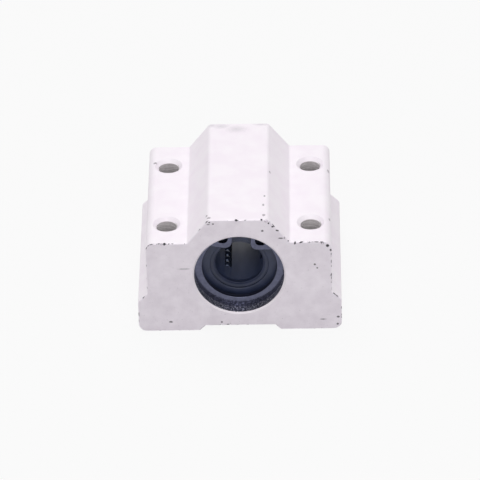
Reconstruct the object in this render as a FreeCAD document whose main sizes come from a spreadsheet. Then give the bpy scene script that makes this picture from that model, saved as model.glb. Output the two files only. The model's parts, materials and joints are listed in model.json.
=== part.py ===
import FreeCAD, Part
import itertools
import math
import os

import Sketcher

# Linear bearing block for an 8 mm shaft: an aluminium housing that holds a ball bushing between
# two internal circlips. Millimetres, +Z up. The origin is the centre of the base, and the shaft
# runs along Y, so the front end faces -Y. Each piece is drawn about the shaft's axis and then
# lifted by axis_height.

SIZES = [
    # housing: section
    ("block_width", 34.0, "over the flanges"),
    ("block_length", 30.0, "along the shaft"),
    ("block_height", 22.0, "base to crown"),
    ("axis_height", 11.0, "base to shaft axis"),
    ("flange_height", 5.9, "height of the full-width flanges"),
    ("flange_ledge", 1.6, "how far a flange stands out from the wall above it"),
    ("shoulder_height", 17.5, "base to the shoulders that carry the holes"),
    ("crown_foot_width", 17.0, "where the crown's slopes meet the shoulders"),
    ("crown_top_width", 10.0, "flat on top of the crown"),
    ("base_groove_width", 13.6, "relief along the base, at its mouth"),
    ("base_groove_depth", 0.95, "relief along the base, with 45 degree sides"),
    ("base_corner_radius", 1.4, ""),
    ("flange_corner_radius", 0.6, ""),
    ("shoulder_corner_radius", 1.25, ""),
    ("crown_corner_radius", 0.7, ""),
    ("crown_foot_radius", 0.4, ""),
    # housing: holes
    ("hole_side_distance", 5.0, "flange side to hole centre, which gives 24 across"),
    ("hole_end_distance", 6.0, "end face to hole centre, which gives 18 along the shaft"),
    ("hole_diameter", 3.4, "core of the M4 thread, and clear for an M3 screw"),
    ("hole_mouth_diameter", 4.6, "countersink of the tapped end"),
    ("bore_chamfer", 0.35, "both mouths of the bore"),
    # ball bushing: envelope
    ("shaft_diameter", 8.0, "shaft that the bushing runs on"),
    ("bearing_diameter", 14.98, "outside of the sleeve"),
    ("bearing_length", 24.0, "length of the sleeve"),
    ("bore_clearance", 0.02, "radial, sleeve in housing"),
    # circlips
    ("clip_thickness", 1.0, ""),
    ("clip_end_gap", 0.1, "axial, bushing to circlip"),
    ("clip_groove_width", 1.1, ""),
    ("clip_groove_depth", 0.35, ""),
    ("clip_seat_clearance", 0.03, "radial, circlip in its groove"),
    ("clip_width", 2.15, "radial width opposite the ears"),
    ("clip_ear_side_width", 1.01, "radial width where the ears begin"),
    ("clip_gap", 3.1, "between the ears"),
    ("clip_ear_height", 3.92, "from the ring's outer edge, beside the gap"),
    ("clip_ear_reach", 54.0, "angle from the gap's middle to where the underside ends"),
    ("clip_ear_radius", 1.3, "corner of an ear beside the gap"),
    ("clip_hole_diameter", 1.8, "pliers hole"),
    ("clip_hole_inset", 1.2, "pliers hole's centre from the ring's outer edge"),
    ("clip_hole_offset", 1.65, "pliers hole's centre from the gap's side"),
    ("front_clip_turn", 4.8, "how far the gap is turned from straight up"),
    ("rear_clip_turn", -14.0, "how far the gap is turned from straight up"),
    # sleeve
    ("sleeve_ring_depth", 0.34, "two ring grooves round the outside"),
    ("sleeve_ring_width", 1.1, ""),
    ("sleeve_ring_span", 17.5, "over the two outer ring grooves"),
    ("relief_step", 0.1, "radial room over the returning balls"),
    ("race_overrun", 0.02, "race past the last ball's centre, at each end"),
    # balls and their tracks
    ("ball_diameter", 1.5875, ""),
    ("ball_gap", 0.0325, "between neighbours in a row"),
    ("balls_per_row", 8, ""),
    ("circuits", 4, ""),
    ("loaded_row_angle", 27.6, "first loaded row, from straight up, turning towards +X"),
    ("shaft_play", 0.004, "radial, balls to shaft"),
    ("race_play", 0.0125, "radial, balls to race"),
    ("return_lift", 0.65, "how much further out the balls return"),
    ("track_clearance", 0.06, "beside and under the balls"),
    # cage
    ("cage_shaft_clearance", 0.25, "radial, cage to shaft"),
    ("cage_race_clearance", 0.08, "radial, cage to race"),
    ("window_width", 1.2, "opening to the shaft, narrower than a ball"),
    ("tongue_end_gap", 0.15, "end of the tongue past the middle of the last ball"),
    # end rings and seals
    ("end_ring_thickness", 0.5, ""),
    ("end_ring_width", 1.7, "radial"),
    ("end_ring_gap", 1.6, "split of the end ring"),
    ("ring_seat_clearance", 0.02, "radial, end ring and seal in the sleeve"),
    ("seal_recess", 0.3, "rim of the seal behind the sleeve's end"),
    ("seal_thickness", 1.25, ""),
    ("seal_rim_width", 1.5, "flat rim of the seal"),
    ("seal_dish_depth", 0.7, "lip behind the rim"),
    ("seal_lip_clearance", 0.03, "radial, lip to shaft"),
]

AXIS_PLACEMENT = "placement(vector(0; 0; Sizes.axis_height); rotation(vector(0; 1; 0); {turn}))"

doc = FreeCAD.newDocument("LinearBearingBlock")
sheet = doc.addObject("Spreadsheet::Sheet", "Sizes")
for row, (alias, value, note) in enumerate(SIZES, start=1):
    sheet.set(f"A{row}", alias)
    sheet.set(f"B{row}", str(value))
    sheet.set(f"C{row}", note)
    sheet.setAlias(f"B{row}", alias)
doc.recompute()

SLEEVE_RADIUS = "Sizes.bearing_diameter / 2"
BORE_RADIUS = f"({SLEEVE_RADIUS} + Sizes.bore_clearance)"
BALL_RADIUS = "Sizes.ball_diameter / 2"
HALF_BEARING = "Sizes.bearing_length / 2"
LOADED_RADIUS = f"(Sizes.shaft_diameter / 2 + Sizes.shaft_play + {BALL_RADIUS})"
RETURN_RADIUS = f"({LOADED_RADIUS} + Sizes.return_lift)"
RACE_RADIUS = f"({LOADED_RADIUS} + {BALL_RADIUS} + Sizes.race_play)"
RELIEF_RADIUS = f"({RETURN_RADIUS} + {BALL_RADIUS} + Sizes.relief_step)"
BALL_PITCH = "(Sizes.ball_diameter + Sizes.ball_gap)"
HALF_ROW = f"((Sizes.balls_per_row - 1) * {BALL_PITCH} / 2)"
# one ball sits in the middle of each end turn, a pitch away from the last ball of each row
TURN_RADIUS = f"({BALL_PITCH} / sqrt(2))"
TRACK_RADIUS = f"({BALL_RADIUS} + Sizes.track_clearance)"
# the middle of a circuit lies between its loaded row and its return row
CIRCUIT_TURN = f"(Sizes.loaded_row_angle * 1 deg + asin({TURN_RADIUS} / {LOADED_RADIUS}))"
SEAL_FACE = f"({HALF_BEARING} - Sizes.seal_recess)"
SEAL_BACK = f"({SEAL_FACE} - Sizes.seal_thickness)"
CAGE_END = f"({SEAL_BACK} - Sizes.end_ring_thickness)"
CLIP_OUTER_RADIUS = f"({BORE_RADIUS} + Sizes.clip_groove_depth - Sizes.clip_seat_clearance)"
CLIP_INNER_FACE = f"({HALF_BEARING} + Sizes.clip_end_gap)"
CLIP_OUTER_FACE = f"({CLIP_INNER_FACE} + Sizes.clip_thickness)"


def number(expression):
    """The value of a sheet expression, in mm or degrees."""
    return float(sheet.evalExpression(expression))


def new_body(label, turn="0"):
    """A body whose own frame is the shaft's axis, turned about it and lifted to its height."""
    body = doc.addObject("PartDesign::Body", label)
    body.Label = label
    body.setExpression("Placement", AXIS_PLACEMENT.format(turn=turn))
    return body


def new_sketch(body, name, role, offset=None, tilt=None):
    """A sketch on one of the body's origin planes, moved out by offset and tilted about Y."""
    sketch = body.newObject("Sketcher::SketchObject", f"{body.Name}_{name}")
    plane = next(item for item in body.Origin.OriginFeatures if item.Role == role)
    sketch.AttachmentSupport = [(plane, "")]
    sketch.MapMode = "FlatFace"
    if tilt is not None:
        normal = f"vector(sin({tilt}); 0; cos({tilt}))"
        turn = f"rotation(vector(0; 1; 0); {tilt})"
        sketch.setExpression("AttachmentOffset", f"placement({normal} * {offset}; {turn})")
    elif offset is not None:
        sketch.setExpression("AttachmentOffset.Base.z", offset)
    return sketch


def tie(sketch, kind, references, expression):
    """A driving constraint whose value is a sheet expression."""
    index = sketch.addConstraint(Sketcher.Constraint(kind, *references, number(expression)))
    sketch.setExpression(f"Constraints[{index}]", expression)


def place_point(sketch, geometry, position, x, y):
    """Fixes one point of a sketch at two sheet expressions."""
    tie(sketch, "DistanceX", (geometry, position), x)
    tie(sketch, "DistanceY", (geometry, position), y)


def add_polygon(sketch, points):
    """A closed outline through points given as pairs of sheet expressions."""
    corners = [FreeCAD.Vector(number(x), number(y), 0) for x, y in points]
    lines = []
    for index, start in enumerate(corners):
        end = corners[(index + 1) % len(corners)]
        lines.append(sketch.addGeometry(Part.LineSegment(start, end), False))
    for index, line in enumerate(lines):
        following = lines[(index + 1) % len(lines)]
        sketch.addConstraint(Sketcher.Constraint("Coincident", line, 2, following, 1))
    for line, (x, y) in zip(lines, points):
        place_point(sketch, line, 1, x, y)


def add_circle(sketch, x, y, radius):
    """A circle whose centre and radius are sheet expressions."""
    centre = FreeCAD.Vector(number(x), number(y), 0)
    circle = Part.Circle(centre, FreeCAD.Vector(0, 0, 1), number(radius))
    index = sketch.addGeometry(circle, False)
    tie(sketch, "Radius", (index,), radius)
    place_point(sketch, index, 3, x, y)


def add_rectangle(sketch, half_width, half_length):
    """A rectangle about the sketch's origin, longer side along its Y."""
    corners = [("-", "-"), ("", "-"), ("", ""), ("-", "")]
    add_polygon(sketch, [(f"{x}({half_width})", f"{y}({half_length})") for x, y in corners])


def add_slot(sketch, x, half_length, radius):
    """A straight slot along the sketch's Y with round ends, centred at (x, 0)."""
    middle = number(x)
    reach = number(half_length)
    wide = number(radius)
    up = FreeCAD.Vector(0, 0, 1)
    top = Part.Circle(FreeCAD.Vector(middle, reach, 0), up, wide)
    bottom = Part.Circle(FreeCAD.Vector(middle, -reach, 0), up, wide)
    arc_top = sketch.addGeometry(Part.ArcOfCircle(top, 0, math.pi), False)
    arc_bottom = sketch.addGeometry(Part.ArcOfCircle(bottom, math.pi, 2 * math.pi), False)
    sides = []
    for side in (1, -1):
        start = FreeCAD.Vector(middle + side * wide, -reach, 0)
        end = FreeCAD.Vector(middle + side * wide, reach, 0)
        sides.append(sketch.addGeometry(Part.LineSegment(start, end), False))
    right, left = sides
    sketch.addConstraint(Sketcher.Constraint("Tangent", right, 2, arc_top, 1))
    sketch.addConstraint(Sketcher.Constraint("Tangent", arc_top, 2, left, 2))
    sketch.addConstraint(Sketcher.Constraint("Tangent", left, 1, arc_bottom, 1))
    sketch.addConstraint(Sketcher.Constraint("Tangent", arc_bottom, 2, right, 1))
    tie(sketch, "Radius", (arc_top,), radius)
    place_point(sketch, arc_top, 3, x, half_length)
    place_point(sketch, arc_bottom, 3, x, f"-({half_length})")


def add_feature(body, kind, name, sketch=None, **settings):
    """A PartDesign feature; a value given as text is a sheet expression."""
    feature = body.newObject(f"PartDesign::{kind}", f"{body.Name}_{name}")
    if sketch is not None:
        feature.Profile = sketch
        sketch.Visibility = False
    for key, value in settings.items():
        if isinstance(value, str) and key in ("Length", "Radius", "Size"):
            feature.setExpression(key, value)
        else:
            setattr(feature, key, value)
    doc.recompute()
    return feature


def revolve(body, name, points, cut=False):
    """A ring about the shaft's axis; points are (radius, distance along Y)."""
    sketch = new_sketch(body, f"{name}_profile", "XY_Plane")
    add_polygon(sketch, points)
    kind = "Groove" if cut else "Revolution"
    return add_feature(body, kind, name, sketch, ReferenceAxis=(sketch, ["V_Axis"]), Angle=360.0)


def both_ends(points):
    """Follows points on the +Y half with their mirror images on the -Y half."""
    return points + [(radius, f"-({along})") for radius, along in reversed(points)]


def edge_names(feature, wanted):
    """Names of the feature's edges for which wanted(edge) is true."""
    edges = feature.Shape.Edges
    return [f"Edge{index}" for index, edge in enumerate(edges, start=1) if wanted(edge)]


def runs_along_y(edge, x, z):
    """True for an edge parallel to Y at (+-x, z)."""
    start = edge.Vertexes[0].Point
    end = edge.Vertexes[-1].Point
    along = abs(start.x - end.x) < 1e-6 and abs(start.z - end.z) < 1e-6
    return along and abs(abs(start.x) - x) < 1e-4 and abs(start.z - z) < 1e-4


def is_bore_mouth(edge, radius, half_length):
    """True for a circle of this radius on either end face of the block."""
    curve = edge.Curve
    if not isinstance(curve, Part.Circle) or abs(curve.Radius - radius) > 1e-4:
        return False
    return abs(abs(curve.Center.y) - half_length) < 1e-4


def make_housing():
    """The extruded block: section, rounded edges, bore, ring grooves and four holes."""
    body = new_body("housing_block")
    base = "-Sizes.axis_height"
    half_flange = "Sizes.block_width / 2"
    half_shoulder = "(Sizes.block_width / 2 - Sizes.flange_ledge)"
    half_foot = "Sizes.crown_foot_width / 2"
    half_top = "Sizes.crown_top_width / 2"
    half_mouth = "Sizes.base_groove_width / 2"
    flange_top = "(Sizes.flange_height - Sizes.axis_height)"
    wall_foot = f"({flange_top} + Sizes.flange_ledge)"
    shoulder = "(Sizes.shoulder_height - Sizes.axis_height)"
    crown = "(Sizes.block_height - Sizes.axis_height)"
    groove_roof = "(Sizes.base_groove_depth - Sizes.axis_height)"

    right = [
        (f"{half_mouth} - Sizes.base_groove_depth", groove_roof),
        (half_mouth, base),
        (half_flange, base),
        (half_flange, flange_top),
        (half_shoulder, wall_foot),
        (half_shoulder, shoulder),
        (half_foot, shoulder),
        (half_top, crown),
    ]
    left = [(f"-({x})", z) for x, z in reversed(right)]
    section = new_sketch(body, "section", "XZ_Plane")
    add_polygon(section, right + left)
    feature = add_feature(
        body, "Pad", "extrusion", section, Length="Sizes.block_length", SideType="Symmetric"
    )

    rounded = [
        ("base_corner", half_flange, base, "Sizes.base_corner_radius"),
        ("flange_corner", half_flange, flange_top, "Sizes.flange_corner_radius"),
        ("shoulder_corner", half_shoulder, shoulder, "Sizes.shoulder_corner_radius"),
        ("crown_foot", half_foot, shoulder, "Sizes.crown_foot_radius"),
        ("crown_corner", half_top, crown, "Sizes.crown_corner_radius"),
    ]
    for name, x, z, radius in rounded:
        place = (number(x), number(z))
        names = edge_names(feature, lambda edge: runs_along_y(edge, *place))
        feature = add_feature(body, "Fillet", name, Base=(feature, names), Radius=radius)

    bore = new_sketch(body, "bore_circle", "XZ_Plane")
    add_circle(bore, "0", "0", BORE_RADIUS)
    feature = add_feature(
        body, "Pocket", "bore", bore, Type="ThroughAll", SideType="Symmetric"
    )
    mouth = (number(BORE_RADIUS), number("Sizes.block_length / 2"))
    mouths = edge_names(feature, lambda edge: is_bore_mouth(edge, *mouth))
    add_feature(body, "Chamfer", "bore_mouths", Base=(feature, mouths), Size="Sizes.bore_chamfer")

    inner = f"({CLIP_OUTER_FACE} - Sizes.clip_groove_width)"
    floor = f"({BORE_RADIUS} + Sizes.clip_groove_depth)"
    for name, sign in (("front_ring_groove", "-1"), ("rear_ring_groove", "1")):
        points = [
            (f"({BORE_RADIUS} - Sizes.clip_groove_depth)", f"{sign} * {inner}"),
            (floor, f"{sign} * {inner}"),
            (floor, f"{sign} * {CLIP_OUTER_FACE}"),
            (f"({BORE_RADIUS} - Sizes.clip_groove_depth)", f"{sign} * {CLIP_OUTER_FACE}"),
        ]
        revolve(body, name, points, cut=True)

    centres = new_sketch(body, "hole_centres", "XY_Plane", offset=shoulder)
    for side in ("-1", "1"):
        for end in ("-1", "1"):
            add_circle(
                centres,
                f"{side} * (Sizes.block_width / 2 - Sizes.hole_side_distance)",
                f"{end} * (Sizes.block_length / 2 - Sizes.hole_end_distance)",
                "Sizes.hole_diameter / 2",
            )
    doc.recompute()
    holes = body.newObject("PartDesign::Hole", "housing_block_tapped_holes")
    holes.Profile = centres
    holes.DepthType = "ThroughAll"
    holes.ThreadType = "None"
    holes.setExpression("Diameter", "Sizes.hole_diameter")
    holes.HoleCutType = "Countersink"
    holes.HoleCutCustomValues = True
    holes.setExpression("HoleCutDiameter", "Sizes.hole_mouth_diameter")
    holes.HoleCutCountersinkAngle = 90.0
    doc.recompute()
    return body


def make_circlip(label, sign, turn):
    """Internal circlip: eccentric ring, split between two ears with a pliers hole each."""
    body = new_body(label, turn)
    # the XZ plane's normal is -Y, so a sketch's offset counts towards the front
    start = CLIP_INNER_FACE if sign < 0 else f"-{CLIP_OUTER_FACE}"
    thickness = "Sizes.clip_thickness"
    ring = new_sketch(body, "ring_outline", "XZ_Plane", offset=start)
    add_circle(ring, "0", "0", CLIP_OUTER_RADIUS)
    # the inner edge is off centre, so the ring is widest opposite the ears
    shift = "(Sizes.clip_width - Sizes.clip_ear_side_width) / 2"
    mean_width = "(Sizes.clip_width + Sizes.clip_ear_side_width) / 2"
    add_circle(ring, "0", shift, f"{CLIP_OUTER_RADIUS} - {mean_width}")
    add_feature(body, "Pad", "ring", ring, Length=thickness)

    gap = new_sketch(body, "gap_outline", "XZ_Plane", offset=start)
    half_gap = "Sizes.clip_gap / 2"
    add_polygon(
        gap,
        [
            (f"-{half_gap}", f"{CLIP_OUTER_RADIUS} / 2"),
            (half_gap, f"{CLIP_OUTER_RADIUS} / 2"),
            (half_gap, f"2 * {CLIP_OUTER_RADIUS}"),
            (f"-{half_gap}", f"2 * {CLIP_OUTER_RADIUS}"),
        ],
    )
    add_feature(body, "Pocket", "gap", gap, Type="ThroughAll", SideType="Symmetric")

    # an ear is a wedge with its far corner inside the ring, so only its side and underside show
    ears = new_sketch(body, "ear_outlines", "XZ_Plane", offset=start)
    ear_low = f"({CLIP_OUTER_RADIUS} - Sizes.clip_ear_height)"
    near_high = f"sqrt({CLIP_OUTER_RADIUS} ^ 2 - ({half_gap}) ^ 2)"
    far_radius = f"({CLIP_OUTER_RADIUS} - Sizes.clip_ear_side_width / 2)"
    for side in ("", "-"):
        add_polygon(
            ears,
            [
                (f"{side}{half_gap}", ear_low),
                (
                    f"{side}{far_radius} * sin(Sizes.clip_ear_reach * 1 deg)",
                    f"{far_radius} * cos(Sizes.clip_ear_reach * 1 deg)",
                ),
                (f"{side}{half_gap}", near_high),
            ],
        )
    feature = add_feature(body, "Pad", "ears", ears, Length=thickness)
    side_x = number(half_gap)
    low = number(ear_low)
    names = edge_names(feature, lambda edge: runs_along_y(edge, side_x, low))
    add_feature(body, "Fillet", "ear_corners", Base=(feature, names), Radius="Sizes.clip_ear_radius")

    holes = new_sketch(body, "pliers_holes_outline", "XZ_Plane", offset=start)
    middle = f"({half_gap} + Sizes.clip_hole_offset)"
    height = f"sqrt(({CLIP_OUTER_RADIUS} - Sizes.clip_hole_inset) ^ 2 - {middle} ^ 2)"
    for side in ("", "-"):
        add_circle(holes, f"{side}{middle}", height, "Sizes.clip_hole_diameter / 2")
    add_feature(body, "Pocket", "pliers_holes", holes, Type="ThroughAll", SideType="Symmetric")
    return body


def make_sleeve():
    """Steel outer cylinder: ring grooves outside, race lands and return grooves inside."""
    body = new_body("bearing_sleeve", "Sizes.loaded_row_angle")
    ring_radius = f"({SLEEVE_RADIUS} - Sizes.sleeve_ring_depth)"
    ring_outer = "Sizes.sleeve_ring_span / 2"
    ring_inner = f"({ring_outer} - Sizes.sleeve_ring_width)"
    race_end = f"({HALF_ROW} + Sizes.race_overrun)"
    half = [
        (SLEEVE_RADIUS, ring_inner),
        (ring_radius, ring_inner),
        (ring_radius, ring_outer),
        (SLEEVE_RADIUS, ring_outer),
        (SLEEVE_RADIUS, HALF_BEARING),
        (RELIEF_RADIUS, HALF_BEARING),
        (RELIEF_RADIUS, race_end),
        (RACE_RADIUS, race_end),
    ]
    revolve(body, "turned_body", both_ends(half))

    grooves = new_sketch(body, "return_groove_circle", "XZ_Plane")
    turn = f"(asin({TURN_RADIUS} / {LOADED_RADIUS}) + asin({TURN_RADIUS} / {RETURN_RADIUS}))"
    add_circle(
        grooves,
        f"{RETURN_RADIUS} * sin({turn})",
        f"{RETURN_RADIUS} * cos({turn})",
        f"{BALL_RADIUS} + Sizes.relief_step",
    )
    # the sleeve's own +Z is a loaded row, so the grooves lie beside the four race lands
    groove = add_feature(
        body, "Pocket", "return_groove", grooves, Type="ThroughAll", SideType="Symmetric"
    )
    repeat_round(body, "return_grooves", [groove])
    return body


def repeat_round(body, name, features):
    """Repeats features once for each ball circuit, about the shaft's axis."""
    pattern = body.newObject("PartDesign::PolarPattern", f"{body.Name}_{name}")
    pattern.Originals = features
    axis = next(item for item in body.Origin.OriginFeatures if item.Role == "Y_Axis")
    pattern.Axis = (axis, [""])
    pattern.Angle = 360.0
    pattern.setExpression("Occurrences", "Sizes.circuits")
    body.Tip = pattern
    doc.recompute()
    return pattern


def make_cage():
    """Moulded retainer with one closed track for each circuit of balls."""
    # the cage's own +Z points midway between a loaded row and its return row
    body = new_body("ball_cage", CIRCUIT_TURN)
    inner = "(Sizes.shaft_diameter / 2 + Sizes.cage_shaft_clearance)"
    outer = f"({RACE_RADIUS} - Sizes.cage_race_clearance)"
    revolve(body, "tube", both_ends([(outer, CAGE_END), (inner, CAGE_END)]))

    # the track is a ring round a tongue, cut from outside down to just under the returning balls
    return_height = f"sqrt({RETURN_RADIUS} ^ 2 - {TURN_RADIUS} ^ 2)"
    track_floor = f"({return_height} - {BALL_RADIUS} - Sizes.track_clearance / 2)"
    track = new_sketch(body, "track_outline", "XY_Plane", offset=track_floor)
    add_slot(track, "0", HALF_ROW, f"({TURN_RADIUS} + {TRACK_RADIUS})")
    add_rectangle(
        track, f"({TURN_RADIUS} - {TRACK_RADIUS})", f"({HALF_ROW} + Sizes.tongue_end_gap)"
    )
    track_cut = add_feature(body, "Pocket", "track", track, Type="ThroughAll", Reversed=True)

    # under the loaded row the track is deeper, and a narrow window lets the balls reach the shaft
    lean = f"-asin({TURN_RADIUS} / {LOADED_RADIUS})"
    row_end = f"({HALF_ROW} + {TRACK_RADIUS})"
    window_depth = f"sqrt(({BALL_RADIUS}) ^ 2 - (Sizes.window_width / 2) ^ 2)"
    loaded_floor = f"({LOADED_RADIUS} - {window_depth})"
    channel = new_sketch(body, "channel_outline", "XY_Plane", offset=loaded_floor, tilt=lean)
    add_rectangle(channel, TRACK_RADIUS, row_end)
    channel_cut = add_feature(body, "Pocket", "channel", channel, Type="ThroughAll", Reversed=True)
    window = new_sketch(body, "window_outline", "XY_Plane", offset=f"{inner} / 2", tilt=lean)
    add_rectangle(window, "Sizes.window_width / 2 + Sizes.track_clearance / 2", row_end)
    window_cut = add_feature(body, "Pocket", "window", window, Type="ThroughAll", Reversed=True)
    repeat_round(body, "circuits", [track_cut, channel_cut, window_cut])
    return body




def make_end_ring(label, sign):
    """Split steel ring, sprung into the sleeve's end against the cage."""
    body = new_body(label)
    outer = f"({RELIEF_RADIUS} - Sizes.ring_seat_clearance)"
    start = CAGE_END if sign < 0 else f"-{SEAL_BACK}"
    ring = new_sketch(body, "ring_outline", "XZ_Plane", offset=start)
    add_circle(ring, "0", "0", outer)
    add_circle(ring, "0", "0", f"{outer} - Sizes.end_ring_width")
    add_feature(body, "Pad", "ring", ring, Length="Sizes.end_ring_thickness")
    split = new_sketch(body, "split_outline", "XZ_Plane", offset=start)
    half_gap = "Sizes.end_ring_gap / 2"
    add_polygon(
        split,
        [
            (f"-{half_gap}", "-Sizes.bearing_diameter"),
            (half_gap, "-Sizes.bearing_diameter"),
            (half_gap, "-Sizes.shaft_diameter / 2"),
            (f"-{half_gap}", "-Sizes.shaft_diameter / 2"),
        ],
    )
    add_feature(body, "Pocket", "split", split, Type="ThroughAll", SideType="Symmetric")
    return body


def make_seal(label, sign):
    """Rubber end seal: a flat rim and a dished face down to the lip round the shaft."""
    body = new_body(label)
    outer = f"({RELIEF_RADIUS} - Sizes.ring_seat_clearance)"
    lip = "(Sizes.shaft_diameter / 2 + Sizes.seal_lip_clearance)"
    rim = f"({outer} - Sizes.seal_rim_width)"
    half = [
        (outer, SEAL_BACK),
        (outer, SEAL_FACE),
        (rim, SEAL_FACE),
        (lip, f"({SEAL_FACE} - Sizes.seal_dish_depth)"),
        (lip, SEAL_BACK),
    ]
    points = half if sign > 0 else [(radius, f"-({along})") for radius, along in half]
    revolve(body, "moulding", points)
    return body


def faceted_ball(radius):
    """A small ball as a closed solid: an octahedron divided once, with its corners on the sphere."""
    faces = []
    for x, y, z in itertools.product((-1, 1), repeat=3):
        trio = [FreeCAD.Vector(x, 0, 0), FreeCAD.Vector(0, y, 0), FreeCAD.Vector(0, 0, z)]
        faces += divide_triangle(*trio)
    pushed = [[FreeCAD.Vector(point).normalize() * radius for point in face] for face in faces]
    skin = [Part.Face(Part.makePolygon(face + [face[0]])) for face in pushed]
    solid = Part.Solid(Part.Shell(skin))
    if solid.Volume < 0:
        solid.reverse()
    return solid


def divide_triangle(a, b, c):
    """Four triangles from one, through the middles of its sides."""
    ab = (a + b) * 0.5
    bc = (b + c) * 0.5
    ca = (c + a) * 0.5
    return [[a, ab, ca], [ab, b, bc], [ca, bc, c], [ab, bc, ca]]


def make_balls(label, circuit, centres):
    """Balls at centres given in a circuit's own frame, as separate solids of one sub-part."""
    ball = faceted_ball(number(BALL_RADIUS))
    solids = []
    for centre in centres:
        copy = ball.copy()
        copy.translate(centre)
        solids.append(copy)
    feature = doc.addObject("Part::Feature", label)
    feature.Label = label
    feature.Shape = Part.makeCompound(solids)
    turn = f"{CIRCUIT_TURN} + {circuit} * 360 deg / Sizes.circuits"
    feature.setExpression("Placement", AXIS_PLACEMENT.format(turn=turn))
    return feature


def make_circuits():
    """The balls of every circuit: loaded row, return row, and one ball in each end turn."""
    turn_radius = number(TURN_RADIUS)
    loaded_height = number(f"sqrt({LOADED_RADIUS} ^ 2 - {TURN_RADIUS} ^ 2)")
    return_height = number(f"sqrt({RETURN_RADIUS} ^ 2 - {TURN_RADIUS} ^ 2)")
    half_row = number(HALF_ROW)
    pitch = number(BALL_PITCH)
    places = [index * pitch - half_row for index in range(int(number("Sizes.balls_per_row")))]
    turn_end = half_row + turn_radius
    for circuit in range(int(number("Sizes.circuits"))):
        tag = circuit + 1
        loaded = [FreeCAD.Vector(-turn_radius, along, loaded_height) for along in places]
        returning = [FreeCAD.Vector(turn_radius, along, return_height) for along in places]
        SUBPARTS.append(make_balls(f"loaded_balls_{tag}", circuit, loaded))
        SUBPARTS.append(make_balls(f"return_balls_{tag}", circuit, returning))
        front = FreeCAD.Vector(0, -turn_end, return_height)
        rear = FreeCAD.Vector(0, turn_end, return_height)
        SUBPARTS.append(make_balls(f"front_turn_ball_{tag}", circuit, [front]))
        SUBPARTS.append(make_balls(f"rear_turn_ball_{tag}", circuit, [rear]))


SUBPARTS = [
    make_housing(),
    make_circlip("front_circlip", -1, "Sizes.front_clip_turn"),
    make_circlip("rear_circlip", 1, "Sizes.rear_clip_turn"),
    make_sleeve(),
    make_cage(),
    make_end_ring("front_end_ring", -1),
    make_end_ring("rear_end_ring", 1),
    make_seal("front_seal", -1),
    make_seal("rear_seal", 1),
]
make_circuits()
doc.recompute()

for item in doc.Objects:
    if "Invalid" in item.State or "Error" in item.State:
        raise RuntimeError(f"{item.Label} did not compute: {item.State}")
for subpart in SUBPARTS:
    if subpart.Shape.isNull() or not subpart.Shape.isValid() or subpart.Shape.Volume <= 0:
        raise RuntimeError(f"{subpart.Label} is not a valid solid")

os.makedirs("parts", exist_ok=True)
for subpart in SUBPARTS:
    subpart.Shape.exportStep(f"parts/{subpart.Label}.step")
    print(f"{subpart.Label}: {len(subpart.Shape.Solids)} solids, {subpart.Shape.Volume:.2f} mm3")
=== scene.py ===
"""How a linear bearing block for an 8 mm shaft looks.

An aluminium extrusion, blasted and clear anodised, is sawn to length and bored. It holds a
ball bushing between two blackened circlips. X runs across the block, Y along the shaft and Z
up from the base. Places and sizes are in metres.
"""

import json
import math

import bmesh
import bpy
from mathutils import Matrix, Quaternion, Vector


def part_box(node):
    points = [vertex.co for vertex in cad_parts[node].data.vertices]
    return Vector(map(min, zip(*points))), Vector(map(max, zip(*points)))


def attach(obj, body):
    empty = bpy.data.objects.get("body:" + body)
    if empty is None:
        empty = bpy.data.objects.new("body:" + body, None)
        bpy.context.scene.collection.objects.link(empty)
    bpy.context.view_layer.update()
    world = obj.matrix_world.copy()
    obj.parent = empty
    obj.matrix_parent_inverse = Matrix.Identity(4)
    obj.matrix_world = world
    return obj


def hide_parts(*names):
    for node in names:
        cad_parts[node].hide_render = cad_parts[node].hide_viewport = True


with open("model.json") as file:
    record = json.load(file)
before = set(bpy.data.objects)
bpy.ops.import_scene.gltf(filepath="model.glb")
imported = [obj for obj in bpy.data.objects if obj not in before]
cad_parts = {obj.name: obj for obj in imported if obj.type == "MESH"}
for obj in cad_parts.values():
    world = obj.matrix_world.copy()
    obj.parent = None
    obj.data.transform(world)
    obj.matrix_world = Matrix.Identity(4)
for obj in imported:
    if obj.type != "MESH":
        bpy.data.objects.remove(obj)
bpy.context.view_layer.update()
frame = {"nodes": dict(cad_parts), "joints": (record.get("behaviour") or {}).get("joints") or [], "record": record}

MM = 0.001
TURN = 2 * math.pi

# distances and turns that count as none
SAME_PLACE = 1e-6
SAME_POINT = 1e-7
FLAT_TURN = math.radians(0.5)

# an edge that turns more than this, in degrees, is a sharp one
SHARP_TURN = 30

# how far a face's normal leans along the shaft: less on the sides, more on the ends
LEAN_OF_SIDES = 0.1
LEAN_OF_ENDS = 0.9

# the frame's own sizes
block_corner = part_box("housing_block")[1]
HALF_WIDTH = block_corner.x
HALF_LENGTH = block_corner.y
BLOCK_HEIGHT = block_corner.z
AXIS = Vector(frame["joints"][0]["pos_m"])
mounts = {mount["name"]: mount for mount in frame["record"]["mounts"]}
SHAFT_HOLE_RADIUS = mounts["shaft_bore"]["dims"]["r_mm"] * MM
SCREW_HOLES = mounts["mounting_holes"]["dims"]
HOLE_RADIUS = SCREW_HOLES["hole_r_mm"] * MM

# extruded section
FLANGE_HEIGHT = 5.9 * MM
FLANGE_LEDGE = 1.6 * MM
SHOULDER_HEIGHT = 17.5 * MM
HALF_CROWN_FOOT = 8.5 * MM
HALF_CROWN_TOP = 5.0 * MM
HALF_BASE_GROOVE = 6.8 * MM
BASE_GROOVE_DEPTH = 0.95 * MM
CORNER_STEPS = 6

# bore and circlip grooves
BORE_RADIUS = 7.51 * MM
BORE_MOUTH = 0.27 * MM
RING_GROOVE_DEPTH = 0.35 * MM
RING_GROOVE_WIDTH = 1.1 * MM

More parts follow.
